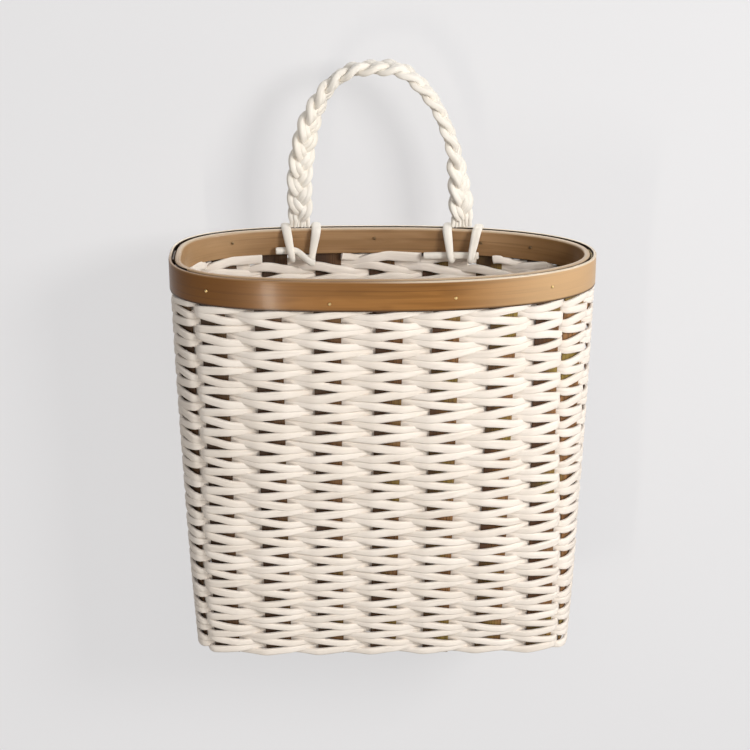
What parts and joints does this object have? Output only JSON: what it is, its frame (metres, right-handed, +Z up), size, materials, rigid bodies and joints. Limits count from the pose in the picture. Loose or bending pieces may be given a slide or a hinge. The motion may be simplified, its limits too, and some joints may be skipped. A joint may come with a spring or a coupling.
{
  "type": "wall basket",
  "caption": "Narrow oval wall basket of twined cord on bent bamboo slats, with a double bamboo hoop at the rim and a braided cord handle at the back.",
  "frame": {"origin": "middle of the underside of the woven slat base, on the surface the basket stands on", "axes": "+Z up from the base to the handle, +Y towards the wall at the basket's back, +X to the right as seen from the front"},
  "size_m": [0.305, 0.132, 0.4309],
  "materials": {
    "wall_cord": "matt twisted paper cord, off-white",
    "handle_cord": "matt braided paper cord, cream",
    "lashing_cord": "matt paper cord, cream",
    "bamboo": "thin bamboo slats, stained, half gloss",
    "hoop_bamboo": "bent bamboo strip, stained brown, varnished",
    "tack_steel": "small round tack heads, dull"
  },
  "bodies": {
    "basket": {"woven_wall": "wall_cord", "cross_slat_1": "bamboo", "cross_slat_2": "bamboo", "cross_slat_3": "bamboo", "cross_slat_4": "bamboo", "cross_slat_5": "bamboo", "cross_slat_6": "bamboo", "cross_slat_7": "bamboo", "long_slat_1": "bamboo", "long_slat_2": "bamboo", "long_slat_3": "bamboo", "outer_hoop": "hoop_bamboo", "inner_hoop": "hoop_bamboo", "front_tack_1": "tack_steel", "front_tack_2": "tack_steel", "front_tack_3": "tack_steel", "front_tack_4": "tack_steel", "back_tack_1": "tack_steel", "back_tack_2": "tack_steel", "back_tack_3": "tack_steel", "back_tack_4": "tack_steel", "left_lashing_outer": "lashing_cord", "left_lashing_inner": "lashing_cord", "right_lashing_outer": "lashing_cord", "right_lashing_inner": "lashing_cord", "left_locking_cord": "lashing_cord", "right_locking_cord": "lashing_cord"},
    "handle": {"handle_strand_1": "handle_cord", "handle_strand_2": "handle_cord", "handle_strand_3": "handle_cord"}
  },
  "joints": [
    {"name": "handle_fold", "type": "hinge", "parent": "basket", "child": "handle", "pos_m": [0, 0.05426, 0.307], "axis": [1, 0, 0], "range_deg": [-60, 65]}
  ]
}
